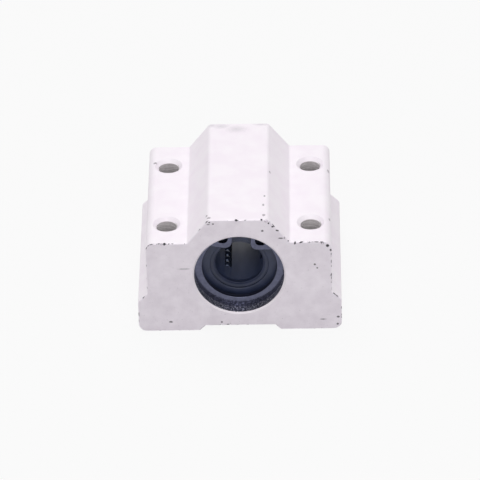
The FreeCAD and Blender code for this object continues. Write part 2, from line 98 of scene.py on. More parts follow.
# tapped holes, M4 with a pitch of 0.7
THREAD_PITCH = 0.7 * MM
THREAD_ROOT_RADIUS = 1.82 * MM
THREAD_TURNS = 12
THREAD_RUN_IN = 1.5
THREAD_STEPS = 32
THREAD_OVERLAP = 0.1 * MM
THREAD_FADE = 0.95
HOLE_MOUTH_RADIUS = 2.3 * MM

# flats round a turned piece and round a drilled hole
ROUND_STEPS = 128
DRILL_STEPS = 64

# sawn ends
RIM_STEP = 0.15 * MM
RIM_HALVINGS = 9
RIM_WIDTH = 0.1 * MM
BURR_LENGTH = 0.6 * MM
BURR_DEPTH = 0.12 * MM
BURR_MIDDLE = 0.35
CHIP_TURN = TURN / 7

# circlips
CLIP_WIDTH = 2.15 * MM
CLIP_EAR_SIDE_WIDTH = 1.01 * MM
CLIP_GAP = 3.1 * MM
CLIP_EAR_HEIGHT = 3.92 * MM
CLIP_EAR_REACH = math.radians(54)
CLIP_EAR_RADIUS = 1.3 * MM
CLIP_EAR_STEPS = 12
CLIP_EAR_TOP = 0.99
CLIP_HOLE_RADIUS = 0.9 * MM
CLIP_HOLE_INSET = 1.2 * MM
CLIP_HOLE_OFFSET = 1.65 * MM
CLIP_EDGE = 0.1 * MM
CLIP_EDGE_STEPS = 4
CLIP_TRIM = 0.01 * MM
CLIP_CORE = 3.5 * MM
CLIP_TURNS = {"front_circlip": math.radians(4.8), "rear_circlip": math.radians(-14.0)}

# sleeve, seals and balls
RING_DEPTH = 0.34 * MM
RING_WIDTH = 1.1 * MM
RING_SPAN = 17.5 * MM
SLEEVE_CHAMFER = 0.3 * MM
RACE_RADIUS = 5.604 * MM
HALF_RACE = 5.7 * MM
SEAL_GAP = 0.02 * MM
SEAL_RIM = 1.5 * MM
SEAL_EDGE = 0.12 * MM
SEAL_STEP = 0.1 * MM
SEAL_DISH = 0.7 * MM
BALL_RADIUS = 0.79375 * MM
BALL_PITCH = 1.62 * MM

# foot, face and raised edge of the seal's lip, as (out from the shaft hole, up from its face)
LIP_SECTION = [
    (0.85 * MM, 0.12 * MM),
    (0.6 * MM, 0.02 * MM),
    (0.2 * MM, 0.0),
    (0.12 * MM, 0.06 * MM),
    (0.04 * MM, 0.04 * MM),
    (0.0, -0.05 * MM),
]

# camera, aimed near the middle of the bore
CAMERA_DISTANCE = 0.7237
CAMERA_ELEVATION = math.radians(33.4)
CAMERA_AZIMUTH = math.radians(1.17)
CAMERA_ROLL = math.radians(-1.485)
CAMERA_LENS = 320.9
CAMERA_FILM = 36
CAMERA_NEAR = 0.1
CAMERA_FAR = 10
AIM_DROP = 2.41 * MM
AIM_SHIFT = 0.05 * MM

# the white room: its light, and how much of the floor shows as plain white
ROOM_LIGHT = 0.5
FLOOR_WIDTH = 4.0
FLOOR_WHITE = 0.88

# outline of a mark: size of its tears, and the reach at which it ends
TEAR_LENGTH = 0.4 * MM
MARK_REACH = 1.6

# wear as (middle, half sizes), in millimetres
EDGE_CHIPS = [
    ((-13.1, -15, 17.6), (0.28, 0.3, 0.22)),
    ((-12.7, -15, 17.4), (0.2, 0.25, 0.2)),
    ((-12.25, -15, 17.5), (0.32, 0.35, 0.26)),
    ((-11.4, -15, 17.55), (0.3, 0.15, 0.12)),
    ((-10.2, -15, 17.55), (0.4, 0.15, 0.12)),
    ((-8.9, -15, 17.6), (0.25, 0.15, 0.14)),
    ((-5.4, -15, 21.9), (0.22, 0.3, 0.22)),
    ((-4.7, -15, 21.6), (0.16, 0.12, 0.14)),
    ((-0.3, -15, 22.0), (0.3, 0.3, 0.2)),
    ((3.9, -15, 22.0), (0.28, 0.3, 0.2)),
    ((4.7, -15, 21.75), (0.3, 0.35, 0.26)),
    ((5.05, -15, 21.3), (0.14, 0.18, 0.16)),
    ((5.7, -15, 20.6), (0.14, 0.14, 0.2)),
    ((6.4, -15, 19.85), (0.12, 0.14, 0.22)),
    ((7.7, -15, 18.35), (0.16, 0.22, 0.24)),
    ((8.3, -15, 17.75), (0.14, 0.22, 0.16)),
    ((9.4, -15, 17.45), (0.45, 0.2, 0.16)),
    ((10.5, -15, 17.5), (0.5, 0.2, 0.14)),
    ((11.6, -15, 17.5), (0.35, 0.2, 0.16)),
    ((13.9, -15, 17.25), (0.3, 0.25, 0.24)),
    ((14.75, -15, 16.7), (0.28, 0.25, 0.3)),
    ((15.3, -15, 15.8), (0.22, 0.25, 0.26)),
    ((15.4, -15, 10.9), (0.14, 0.2, 0.3)),
    ((15.4, -15, 9.3), (0.18, 0.22, 0.2)),
    ((16.3, -15, 7.1), (0.28, 0.25, 0.24)),
    ((-3.2, -15, 0.95), (0.3, 0.25, 0.24)),
    ((-1.6, -15, 0.95), (0.5, 0.15, 0.16)),
    ((1.2, -15, 0.95), (0.3, 0.15, 0.14)),
]
END_MARKS = [
    ((-4.1, -15, 21.3), (0.2, 0.3, 0.16)),
    ((-4.9, -15, 21.2), (0.3, 0.3, 0.12)),
    ((4.0, -15, 19.8), (0.22, 0.3, 0.2)),
    ((7.05, -15, 18.3), (0.4, 0.3, 0.14)),
    ((12.6, -15, 13.0), (0.2, 0.3, 0.2)),
    ((13.0, -15, 12.3), (0.16, 0.3, 0.14)),
    ((-9.1, -15, 12.45), (1.1, 0.3, 0.07)),
    ((-11.6, -15, 1.8), (0.35, 0.3, 0.2)),
    ((-3.1, -15, 1.65), (0.22, 0.3, 0.2)),
    ((-2.1, -15, 1.1), (0.24, 0.3, 0.16)),
    ((13.8, -15, 1.95), (0.6, 0.3, 0.1)),
    ((16.4, -15, 2.4), (0.25, 0.3, 0.22)),
    ((16.3, -15, 0.95), (0.22, 0.3, 0.2)),
]
TOP_SMUDGES = [
    ((-4.5, 14.5, 22), (0.9, 0.7, 0.6)),
    ((-3.0, 14.2, 22), (1.7, 0.9, 0.6)),
    ((-0.4, 13.2, 22), (2.0, 1.2, 0.6)),
    ((3.8, 14.6, 22), (1.4, 0.5, 0.6)),
]
TOP_PITS = [
    ((5.3, 0.1, 22), (0.22, 0.4, 0.6)),
    ((4.4, -7.8, 22), (0.2, 0.3, 0.6)),
    ((4.2, -10.5, 22), (0.2, 0.35, 0.6)),
    ((4.3, -13.6, 22), (0.3, 0.35, 0.6)),
    ((-5.2, -13.3, 22), (0.2, 0.35, 0.6)),
    ((-4.8, -14.2, 22), (0.35, 0.3, 0.6)),
    ((-14.3, 9.9, 17.5), (0.35, 0.3, 0.6)),
    ((15.2, 7.2, 17.3), (0.3, 0.6, 0.6)),
    ((15.2, -7.6, 17.3), (0.2, 0.4, 0.6)),
]


# ---------------------------------------------------------------- hand tools


def start_clean():
    """Leaves no object selected, so that an operator acts on the new one alone."""
    bpy.ops.object.select_all(action="DESELECT")


def pick(obj):
    """Selects one piece alone, for an operator to act on."""
    start_clean()
    obj.select_set(True)
    bpy.context.view_layer.objects.active = obj


def settle(obj, name):
    """Names the piece and puts its place, turn and scale into its mesh."""
    pick(obj)
    obj.name = name
    obj.data.name = name
    bpy.ops.object.transform_apply(location=True, rotation=True, scale=True)
    return obj


def edit(obj):
    """Opens one piece in edit mode, with points to be selected."""
    pick(obj)
    bpy.ops.object.mode_set(mode="EDIT")
    bpy.ops.mesh.select_mode(type="VERT")


def leave_edit():
    """Closes the piece that is open in edit mode."""
    bpy.ops.object.mode_set(mode="OBJECT")


def choose_all():
    """Selects the whole of the open piece."""
    bpy.ops.mesh.select_all(action="SELECT")


def choose(kind, wanted):
    """Selects the points, edges or faces for which wanted(item, middle) is true."""
    bpy.ops.mesh.select_mode(type=kind)
    bpy.ops.mesh.select_all(action="DESELECT")
    mesh = bmesh.from_edit_mesh(bpy.context.edit_object.data)
    items = {"VERT": mesh.verts, "EDGE": mesh.edges, "FACE": mesh.faces}[kind]
    found = 0
    for item in items:
        points = [item.co] if kind == "VERT" else [point.co for point in item.verts]
        if wanted(item, sum(points, Vector()) / len(points)):
            item.select_set(True)
            found += 1
    bmesh.update_edit_mesh(bpy.context.edit_object.data)
    return found


def choose_rims():
    """Selects the edges round every opening of the open piece."""
    choose("EDGE", lambda edge, middle: edge.is_boundary)


def near(a, b):
    """True for two lengths, or two parts of a direction, that are as good as equal."""
    return abs(a - b) < SAME_PLACE


def merge_points(distance):
    """Merges points of the open piece that lie within this distance of each other."""
    choose_all()
    bpy.ops.mesh.remove_doubles(threshold=distance)


def face_outwards():
    """Turns every face of the open piece outwards, then closes it."""
    choose_all()
    bpy.ops.mesh.normals_make_consistent(inside=False)
    leave_edit()


def pull(distance, widen=1.0, about=(0, 0, 0)):
    """Extrudes what is selected, then scales it across X."""
    bpy.ops.mesh.extrude_region_move(TRANSFORM_OT_translate={"value": distance})
    bpy.ops.transform.resize(value=(widen, 1, 1), center_override=about)


def bisect(point, normal):
    """Scores the open piece along a plane, without taking anything off."""
    choose_all()
    bpy.ops.mesh.bisect(plane_co=point, plane_no=normal)


def bevel(width, steps):
    """Rounds the selected edges, or breaks them where there is one step."""
    bpy.ops.mesh.bevel(offset=width, segments=steps, affect="EDGES", offset_type="OFFSET")


def apply_modifier(obj, kind, **settings):
    """Adds a modifier, sets it up and applies it."""
    pick(obj)
    modifier = obj.modifiers.new(kind.title(), kind)
    for key, value in settings.items():
        setattr(modifier, key, value)
    bpy.ops.object.modifier_apply(modifier=modifier.name)


def combine(obj, tool, operation, crossing=False):
    """Cuts tool out of obj, or joins it on; the cut faces keep the tool's finish."""
    apply_modifier(
        obj,
        "BOOLEAN",
        object=tool,
        operation=operation,
        solver="EXACT",
        material_mode="TRANSFER",
        use_self=crossing,
    )
    bpy.data.objects.remove(tool)


def join_up(tools, name):
    """Makes one tool of several, so that a piece is cut by all of them at once."""
    start_clean()
    for tool in tools:
        tool.select_set(True)
    bpy.context.view_layer.objects.active = tools[0]
    bpy.ops.object.join()
    return settle(bpy.context.active_object, name)


def soften(obj, width, steps):
    """Rounds every sharp edge of a piece, then shades it."""
    apply_modifier(
        obj,
        "BEVEL",
        width=width,
        segments=steps,
        limit_method="ANGLE",
        angle_limit=math.radians(SHARP_TURN),
        use_clamp_overlap=False,
    )
    shade(obj)


def shade(obj, angle=SHARP_TURN):
    """Shades a piece smooth over its rounded edges and keeps its large flat faces flat."""
    pick(obj)
    bpy.ops.object.shade_smooth_by_angle(angle=math.radians(angle))
    edit(obj)
    choose("EDGE", between_finishes)
    bpy.ops.mesh.mark_sharp()
    leave_edit()
    apply_modifier(obj, "WEIGHTED_NORMAL", keep_sharp=True)


def between_finishes(edge, middle):
    """True for an edge where one finish meets another."""
    return len({face.material_index for face in edge.link_faces}) > 1


def finish(obj, material):
    """Gives a whole piece one finish."""
    obj.data.materials.clear()
    obj.data.materials.append(material)
    return obj


def finish_faces(obj, material, wanted):
    """Gives the faces for which wanted(face, middle) is true a finish of their own."""
    if material.name not in obj.data.materials:
        obj.data.materials.append(material)
    obj.active_material_index = obj.data.materials.find(material.name)
    edit(obj)
    choose("FACE", wanted)
    bpy.ops.object.material_slot_assign()
    leave_edit()


def turned(name, section, capped=False):
    """A piece turned about the shaft's line: a ring of this section, or a capped solid."""
    # the section is a list of (radius, place along Y)
    start_clean()
    radius, along = section[0]
    place = (0, along, AXIS.z)
    bpy.ops.mesh.primitive_circle_add(
        vertices=ROUND_STEPS, radius=radius, location=place, rotation=(TURN / 4, 0, 0)
    )
    obj = settle(bpy.context.active_object, name)
    edit(obj)
    choose_all()
    for new_radius, new_along in section[1:]:
        step = (0, new_along - along, 0)
        bpy.ops.mesh.extrude_region_move(TRANSFORM_OT_translate={"value": step})
        grow = new_radius / radius
        bpy.ops.transform.resize(value=(grow, 1, grow), center_override=(0, 0, AXIS.z))
        radius, along = new_radius, new_along
    choose_rims()
    if capped:
        bpy.ops.mesh.edge_face_add()
    else:
        bpy.ops.mesh.bridge_edge_loops()
    face_outwards()
    return obj


def cylinder(name, radius, depth, place, turn=(0, 0, 0), steps=DRILL_STEPS):
    """A plain cylinder to cut with, upright unless it is turned."""
    start_clean()
    bpy.ops.mesh.primitive_cylinder_add(
        vertices=steps, radius=radius, depth=depth, location=place, rotation=turn
    )
    return settle(bpy.context.active_object, name)


def cube(name, size, place):
    """A plain box to cut with, or to shape into a tool."""
    start_clean()
    bpy.ops.mesh.primitive_cube_add(size=1, location=place, scale=size)
    return settle(bpy.context.active_object, name)


# ---------------------------------------------------------------- block


def extrude_section():
    """The section, drawn at the rear end as an edge is pulled up, then run along the shaft."""
    start_clean()
    bpy.ops.mesh.primitive_plane_add(
        size=1,
        location=(0, HALF_LENGTH, FLANGE_HEIGHT / 2),
        rotation=(TURN / 4, 0, 0),
    )
    block = bpy.context.active_object
    block.scale = (2 * HALF_WIDTH, FLANGE_HEIGHT, 1)
    block = settle(block, "block")
    edit(block)

    groove_roof = HALF_BASE_GROOVE - BASE_GROOVE_DEPTH
    for x in (HALF_BASE_GROOVE, groove_roof, -groove_roof, -HALF_BASE_GROOVE):
        bisect((x, 0, 0), (1, 0, 0))
    widest = groove_roof + SAME_PLACE
    choose("VERT", lambda point, middle: near(middle.z, 0) and abs(middle.x) < widest)
    bpy.ops.transform.translate(value=(0, 0, BASE_GROOVE_DEPTH))

    top = FLANGE_HEIGHT
    choose("EDGE", lambda edge, middle: edge.is_boundary and near(middle.z, top))
    pull((0, 0, FLANGE_LEDGE), widen=(HALF_WIDTH - FLANGE_LEDGE) / HALF_WIDTH)
    top = FLANGE_HEIGHT + FLANGE_LEDGE
    pull((0, 0, SHOULDER_HEIGHT - top))
    for x in (HALF_CROWN_FOOT, -HALF_CROWN_FOOT):
        bisect((x, 0, 0), (1, 0, 0))
    choose(
        "EDGE",
        lambda edge, middle: near(middle.z, SHOULDER_HEIGHT)
        and edge.is_boundary
        and abs(middle.x) < HALF_CROWN_FOOT,
    )
    pull((0, 0, BLOCK_HEIGHT - SHOULDER_HEIGHT), widen=HALF_CROWN_TOP / HALF_CROWN_FOOT)

    merge_points(SAME_PLACE)
    bpy.ops.mesh.dissolve_limited(angle_limit=FLAT_TURN)
    choose_all()
    bpy.ops.mesh.extrude_region_move(
        TRANSFORM_OT_translate={"value": (0, -2 * HALF_LENGTH, 0)}
    )
    face_outwards()
    return block


def round_long_edges(block):
    """The extrusion die's rounded corners, on both sides of the block."""
    slope = math.atan2(BLOCK_HEIGHT - SHOULDER_HEIGHT, HALF_CROWN_FOOT - HALF_CROWN_TOP)
    # each corner's place across and up, its radius and the angle that it turns through
    corners = [
        (HALF_WIDTH, 0, 1.4 * MM, TURN / 4),
        (HALF_WIDTH, FLANGE_HEIGHT, 0.6 * MM, TURN / 8),
        (HALF_WIDTH - FLANGE_LEDGE, FLANGE_HEIGHT + FLANGE_LEDGE, 0.2 * MM, TURN / 8),
        (HALF_WIDTH - FLANGE_LEDGE, SHOULDER_HEIGHT, 1.25 * MM, TURN / 4),
        (HALF_CROWN_FOOT, SHOULDER_HEIGHT, 0.4 * MM, slope),
        (HALF_CROWN_TOP, BLOCK_HEIGHT, 0.7 * MM, slope),
        (HALF_BASE_GROOVE, 0, 0.15 * MM, TURN / 8),
        (HALF_BASE_GROOVE - BASE_GROOVE_DEPTH, BASE_GROOVE_DEPTH, 0.15 * MM, TURN / 8),
    ]
    edit(block)
    for x, z, radius, turn in corners:
        choose(
            "EDGE",
            lambda edge, middle: near(middle.y, 0)
            and near(abs(middle.x), x)
            and near(middle.z, z),
        )
        bevel(radius * math.tan(turn / 2), CORNER_STEPS)
    leave_edit()


def rim_edges(end):
    """Edges of the section's outline on one end face of the plain extrusion."""
    return lambda edge, middle: near(middle.y, end) and all(
        near(point.co.y, end) for point in edge.verts
    )


def divide_rim(block, end):
    """Splits the outline of one end into short steps, so that the saw's burr can wander."""
    edit(block)
    for halvings in range(RIM_HALVINGS, 0, -1):
        shortest = RIM_STEP * 2**halvings
        found = choose(
            "EDGE",
            lambda edge, middle: rim_edges(end)(edge, middle) and edge.calc_length() > shortest,
        )
        if found:
            bpy.ops.mesh.subdivide(number_cuts=1, ngon=True)
    leave_edit()


def break_rim(block, end):
    """A narrow broken edge round one end face, ragged where the saw tore it."""
    divide_rim(block, end)
    edit(block)
    choose("EDGE", rim_edges(end))
    bevel(RIM_WIDTH, 1)
    side_end = end - math.copysign(RIM_WIDTH, end)
    on_face = f"rim_face_{'front' if end < 0 else 'rear'}"
    on_side = f"rim_side_{'front' if end < 0 else 'rear'}"
    for name, along in ((on_face, end), (on_side, side_end)):
        choose("VERT", lambda point, middle: near(middle.y, along))
        bpy.ops.object.vertex_group_add()
        block.vertex_groups.active.name = name
        bpy.ops.object.vertex_group_assign()
    leave_edit()

    # the edge wanders along the side faces, and inwards only within the end face
    wander = bpy.data.textures.new("saw_burr", "CLOUDS")
    wander.noise_scale = BURR_LENGTH
    wander.noise_depth = 3
    for name, direction, middle, depth in (
        (on_side, "Y", BURR_MIDDLE, -math.copysign(BURR_DEPTH, end)),
        (on_face, "NORMAL", 1.0, BURR_DEPTH),
    ):
        apply_modifier(
            block,
            "DISPLACE",
            texture=wander,
            direction=direction,
            vertex_group=name,
            mid_level=middle,
            strength=depth,
        )
    edit(block)
    bpy.ops.mesh.select_all(action="DESELECT")
    block.vertex_groups.active_index = block.vertex_groups[on_face].index
    bpy.ops.object.vertex_group_select()
    bpy.ops.transform.resize(value=(1, 0, 1), center_override=(0, end, 0))
    leave_edit()


def bore_tool():
    """Everything that is turned out of the block about the shaft's line."""
    mouth = BORE_RADIUS + BORE_MOUTH
    groove = BORE_RADIUS + RING_GROOVE_DEPTH
    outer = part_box("rear_circlip")[1].y
    inner = outer - RING_GROOVE_WIDTH
    half = [
        (mouth + BORE_MOUTH, HALF_LENGTH + BORE_MOUTH),
        (BORE_RADIUS, HALF_LENGTH - BORE_MOUTH),
        (BORE_RADIUS, outer),
        (groove, outer),
        (groove, inner),
        (BORE_RADIUS, inner),
    ]
    section = half + [(radius, -along) for radius, along in reversed(half)]
    return turned("bore_tool", section, capped=True)


def screw_hole_places():
    """Middles of the four holes, at the height of the shoulders."""
    half_x = SCREW_HOLES["spacing_x_mm"] * MM / 2
    half_y = SCREW_HOLES["spacing_y_mm"] * MM / 2
    return [(x, y) for x in (-half_x, half_x) for y in (-half_y, half_y)]


def hole_tool(x, y):
    """Tapping drill right through, with the countersink at its top."""
    tool = cylinder("hole_tool", HOLE_RADIUS, 2 * BLOCK_HEIGHT, (x, y, 0))
    edit(tool)
    top = SHOULDER_HEIGHT - (HOLE_MOUTH_RADIUS - HOLE_RADIUS)
    bisect((0, 0, top), (0, 0, 1))
    bisect((0, 0, SHOULDER_HEIGHT), (0, 0, 1))
    choose("VERT", lambda point, middle: middle.z > SHOULDER_HEIGHT - SAME_PLACE)
    wide = HOLE_MOUTH_RADIUS / HOLE_RADIUS
    bpy.ops.transform.resize(value=(wide, wide, 1), center_override=(x, y, 0))
    leave_edit()
    return tool


def tap_tool(x, y):
    """One full thread from the top, fading out where the tap's lead ends."""
    low = SHOULDER_HEIGHT - (THREAD_TURNS - THREAD_RUN_IN) * THREAD_PITCH
    core = HOLE_RADIUS - THREAD_OVERLAP
    flank = (THREAD_ROOT_RADIUS - core) * math.tan(TURN / 12)
    root_flat = THREAD_PITCH / 8
    crest_flat = THREAD_PITCH - root_flat - 2 * flank
    steps = [
        (0, crest_flat),
        (THREAD_ROOT_RADIUS - core, flank),
        (0, root_flat),
        (core - THREAD_ROOT_RADIUS, flank),
    ]
    start_clean()
    bpy.ops.mesh.primitive_plane_add(size=crest_flat, location=(core, 0, low))
    tool = settle(bpy.context.active_object, "tap_tool")
    edit(tool)
    choose_all()
    bpy.ops.mesh.merge(type="CENTER")
    for out, up in steps:
        bpy.ops.mesh.extrude_region_move(TRANSFORM_OT_translate={"value": (out, 0, up)})
    leave_edit()
    apply_modifier(
        tool,
        "SCREW",
        steps=THREAD_STEPS,
        render_steps=THREAD_STEPS,
        iterations=THREAD_TURNS,
        screw_offset=THREAD_PITCH,
        use_merge_vertices=True,
        merge_threshold=SAME_PLACE,
    )
    edit(tool)
    lead_top = low + THREAD_PITCH + SAME_PLACE
    choose("VERT", lambda point, middle: middle.z < lead_top)
    fade = HOLE_RADIUS / THREAD_ROOT_RADIUS * THREAD_FADE
    bpy.ops.transform.resize(value=(fade, fade, 1), center_override=(0, 0, 0))
    merge_points(SAME_PLACE)
    choose_rims()
    bpy.ops.mesh.fill_holes(sides=0)
    face_outwards()
    tool.location = (x, y, 0)
    return settle(tool, "tap_tool")


def chip_tool(material):
    """All the chips of the front edge in one tool: a lump, copied, stretched and turned."""
    start_clean()
    bpy.ops.mesh.primitive_ico_sphere_add(subdivisions=2, radius=MM)
    lump = settle(bpy.context.active_object, "chip_lump")
    finish(lump, material)
    chips = []
    for number, (middle, half) in enumerate(EDGE_CHIPS):
        chip = lump.copy()
        chip.data = lump.data.copy()
        bpy.context.scene.collection.objects.link(chip)
        chip.location = Vector(middle) * MM
        chip.scale = half
        chip.rotation_euler = (0, number * CHIP_TURN, 0)
        chips.append(chip)
    bpy.data.objects.remove(lump)
    return join_up(chips, "chip_tool")


def make_block():
    """The housing: extrusion, ragged sawn ends, chips, bore, four tapped holes."""
    blasted = blasted_anodised()
    sawn = sawn_anodised()
    # the burr and the chips carry painted shade: their near-black share stands for the shadow in the torn metal
    burred = torn_aluminium("burred_aluminium", 0.42, "66636A")
    chipped = torn_aluminium("chipped_aluminium", 0.55, "46444A")
    block = finish(extrude_section(), blasted)
    round_long_edges(block)
    for end in (-HALF_LENGTH, HALF_LENGTH):
        break_rim(block, end)
        finish_faces(block, sawn, lambda face, middle: near(middle.y, end))
        finish_faces(block, burred, lambda face, middle: on_rim(face, end))
    bore = finish(bore_tool(), blasted)
    finish_faces(bore, turned_aluminium(), lambda face, middle: not on_mouth(face))
    combine(block, bore, "DIFFERENCE")
    tapped = tapped_aluminium()
    places = screw_hole_places()
    drills = finish(join_up([hole_tool(x, y) for x, y in places], "hole_tools"), blasted)
    finish_faces(
        drills, tapped, lambda face, middle: near(face.normal.z, 0) and middle.z < SHOULDER_HEIGHT
    )
    combine(block, drills, "DIFFERENCE")
    combine(block, chip_tool(chipped), "DIFFERENCE", crossing=True)
    taps = finish(join_up([tap_tool(x, y) for x, y in places], "tap_tools"), tapped)
    combine(block, taps, "DIFFERENCE")
    edit(block)
    merge_points(SAME_POINT)
    leave_edit()
    shade(block)
    return block


def on_mouth(face):
    """True for the cones at the mouths of the bore."""
    return LEAN_OF_SIDES < abs(face.normal.y) < LEAN_OF_ENDS


def on_rim(face, end):
    """True for the narrow faces that join an end face to the sides."""
    at_end = [near(point.co.y, end) for point in face.verts]
    return any(at_end) and not all(at_end)


# ---------------------------------------------------------------- circlips


def make_circlip(node, gap_turn):
    """A stamped circlip: eccentric ring, open between two ears with a pliers hole each."""
    low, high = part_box(node)
    radius = high.x
    thickness = high.y - low.y
    middle = (low.y + high.y) / 2
    half = thickness / 2
    section = [(radius, -half), (CLIP_CORE, -half), (CLIP_CORE, half), (radius, half)]
    ring = turned(f"{node}_ring", section)
    ring.location = -AXIS
    settle(ring, f"{node}_ring")
    # the punch that clears the inside leaves the two ears standing
    inner = radius - (CLIP_WIDTH + CLIP_EAR_SIDE_WIDTH) / 2
    shift = (CLIP_WIDTH - CLIP_EAR_SIDE_WIDTH) / 2
    lying = (TURN / 4, 0, 0)
    through = 3 * thickness
    punch = cylinder("punch", inner, through, (0, 0, shift), lying, ROUND_STEPS)
    for side in (-1, 1):
        combine(punch, ear_blank(side, radius, 2 * through), "DIFFERENCE")
    combine(ring, punch, "DIFFERENCE")
    gap = cube("clip_gap", (CLIP_GAP, through, 2 * radius), (0, 0, radius))
    combine(ring, gap, "DIFFERENCE")
    across = CLIP_GAP / 2 + CLIP_HOLE_OFFSET
    up = math.sqrt((radius - CLIP_HOLE_INSET) ** 2 - across**2)
    for side in (-1, 1):
        place = (side * across, 0, up)
        pliers = cylinder("pliers_hole", CLIP_HOLE_RADIUS, through, place, lying)
        combine(ring, pliers, "DIFFERENCE")
    soften(ring, CLIP_EDGE, CLIP_EDGE_STEPS)
    ring.location = (0, middle, AXIS.z)
    ring.rotation_euler = (0, gap_turn, 0)
    return settle(ring, f"{node}_stamped")


def ear_blank(side, radius, thickness):
    """One ear: a wedge whose far corner stays inside the ring, with its low corner rounded."""
    near_side = CLIP_GAP / 2 - CLIP_TRIM
    low = radius - CLIP_EAR_HEIGHT
    high = math.sqrt(radius**2 - near_side**2) * CLIP_EAR_TOP
    far_radius = radius - CLIP_EAR_SIDE_WIDTH / 2
    far_side = far_radius * math.sin(CLIP_EAR_REACH)
    far_height = far_radius * math.cos(CLIP_EAR_REACH)
    middle = (near_side + far_side) / 2
    ear = cube(
        "clip_ear",
        (far_side - near_side, thickness, high - low),
        (side * middle, 0, (low + high) / 2),
    )
    edit(ear)
    for height in (low, high):
        choose(
            "VERT",
            lambda point, place: near(place.z, height) and near(abs(place.x), far_side),
        )
        bpy.ops.transform.translate(value=(0, 0, far_height - height))
    merge_points(SAME_PLACE)
    choose("EDGE", lambda edge, place: near(place.z, low) and near(place.y, 0))
    bevel(CLIP_EAR_RADIUS, CLIP_EAR_STEPS)
    face_outwards()
    return ear


# ---------------------------------------------------------------- ball bushing


def make_sleeve():
    """Ground steel sleeve: two ring grooves, chamfered ends, stepped inside for the seals."""
    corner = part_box("bearing_sleeve")[1]
    radius = corner.x
    end = corner.y
    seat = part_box("rear_seal")[1].x + SEAL_GAP
    half = [
        (radius, RING_SPAN / 2 - RING_WIDTH),
        (radius - RING_DEPTH, RING_SPAN / 2 - RING_WIDTH),
        (radius - RING_DEPTH, RING_SPAN / 2),
        (radius, RING_SPAN / 2),
        (radius, end - SLEEVE_CHAMFER),
        (radius - SLEEVE_CHAMFER, end),
        (seat + SLEEVE_CHAMFER / 2, end),
        (seat, end - SLEEVE_CHAMFER / 2),
        (seat, HALF_RACE),
        (RACE_RADIUS, HALF_RACE),
    ]
    section = half + [(radius, -along) for radius, along in reversed(half)]
    sleeve = turned("sleeve_ground", section)
    shade(sleeve)
    return sleeve


def make_seal(node):
    """Moulded seal: flat rim, dished face, and a thin lip with a raised edge."""
    low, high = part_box(node)
    sign = 1 if high.y > 0 else -1
    face = max(abs(low.y), abs(high.y))
    back = min(abs(low.y), abs(high.y))
    outer = high.x
    lip = SHAFT_HOLE_RADIUS
    rim = outer - SEAL_RIM
    lip_face = face - SEAL_DISH
    section = [
        (outer, back),
        (outer, face - SEAL_EDGE),
        (outer - SEAL_EDGE, face),
        (rim + SEAL_STEP, face),
        (rim, face - SEAL_STEP),
    ]
    section += [(lip + out, lip_face + up) for out, up in LIP_SECTION]
    section += [(lip, back)]
    seal = turned(f"{node}_moulded", [(radius, sign * along) for radius, along in section])
    shade(seal, 40)
    return seal


def make_cage():
    """Cage copied from its solid, with whole flat faces and smooth curved ones."""
    cage = copy_of(frame["nodes"]["ball_cage"], "cage_moulded")
    edit(cage)
    merge_points(SAME_POINT)
    bpy.ops.mesh.dissolve_limited(angle_limit=FLAT_TURN)
    leave_edit()
    shade(cage, 25)
    return cage


def copy_of(node, name):
    """A CAD node's copy with its own mesh, free of the node's body."""
    piece = node.copy()
    piece.data = node.data.copy()
    piece.parent = None
    for key in list(piece.keys()):
        del piece[key]
    bpy.context.scene.collection.objects.link(piece)
    return settle(piece, name)


def ball_centres(node):
    """Middles of the balls in a CAD node, which holds one straight row of them."""
    copy = copy_of(node, "ball_finder")
    edit(copy)
    merge_points(SAME_POINT)
    leave_edit()
    points = [point.co for point in copy.data.vertices]
    middle = sum(points, Vector()) / len(points)
    first = min(point.y for point in points) + BALL_RADIUS
    last = max(point.y for point in points) - BALL_RADIUS
    count = max(1, round((last - first) / BALL_PITCH) + 1)
    bpy.data.objects.remove(copy)
    return [(middle.x, first + index * BALL_PITCH, middle.z) for index in range(count)]


def make_balls(node):
    """Lapped balls, one modelled and the rest of the row copied from it."""
    centres = ball_centres(frame["nodes"][node])
    start_clean()
    bpy.ops.mesh.primitive_ico_sphere_add(
        subdivisions=4, radius=BALL_RADIUS, location=centres[0]
    )
    row = settle(bpy.context.active_object, f"{node}_lapped")
    edit(row)
    choose_all()
    for _ in centres[1:]:
        bpy.ops.mesh.duplicate_move(TRANSFORM_OT_translate={"value": (0, BALL_PITCH, 0)})
    leave_edit()
    shade(row, 60)
    return row


# ---------------------------------------------------------------- finishes


def colour(text):
    """An sRGB hex colour as linear red, green, blue and alpha."""
    values = [int(text[index : index + 2], 16) / 255 for index in (0, 2, 4)]
    linear = [v / 12.92 if v <= 0.04045 else ((v + 0.055) / 1.055) ** 2.4 for v in values]
    return (*linear, 1.0)


def add_node(tree, kind, settings=None, inputs=None):
    """Adds one node; a value that is another node's output is linked, the rest are set."""
    node = tree.nodes.new(kind)
    for key, value in (settings or {}).items():
        setattr(node, key, value)
    for key, value in (inputs or {}).items():
        if isinstance(value, bpy.types.NodeSocket):
            tree.links.new(value, node.inputs[key])
        else:
            node.inputs[key].default_value = value
    return node


def new_finish(name, **constants):
    """A material with a Principled shader, its constant values and Object coordinates."""
    material = bpy.data.materials.new(name)
    material.use_nodes = True
    tree = material.node_tree
    shader = tree.nodes["Principled BSDF"]
    for key, value in constants.items():
        shader.inputs[key.replace("_", " ")].default_value = value
    place = add_node(tree, "ShaderNodeTexCoord").outputs["Object"]
    return material, tree, shader, place


def grain(tree, place, size, stretch=(1, 1, 1), detail=2.0):
    """Spots of about this size, drawn out along an axis where stretch is small."""
    laid = add_node(tree, "ShaderNodeMapping", inputs={"Vector": place, "Scale": stretch})
    noise = add_node(
        tree,
        "ShaderNodeTexNoise",
        inputs={"Vector": laid.outputs[0], "Scale": 1 / size, "Detail": detail},
    )
    return noise.outputs["Fac"]


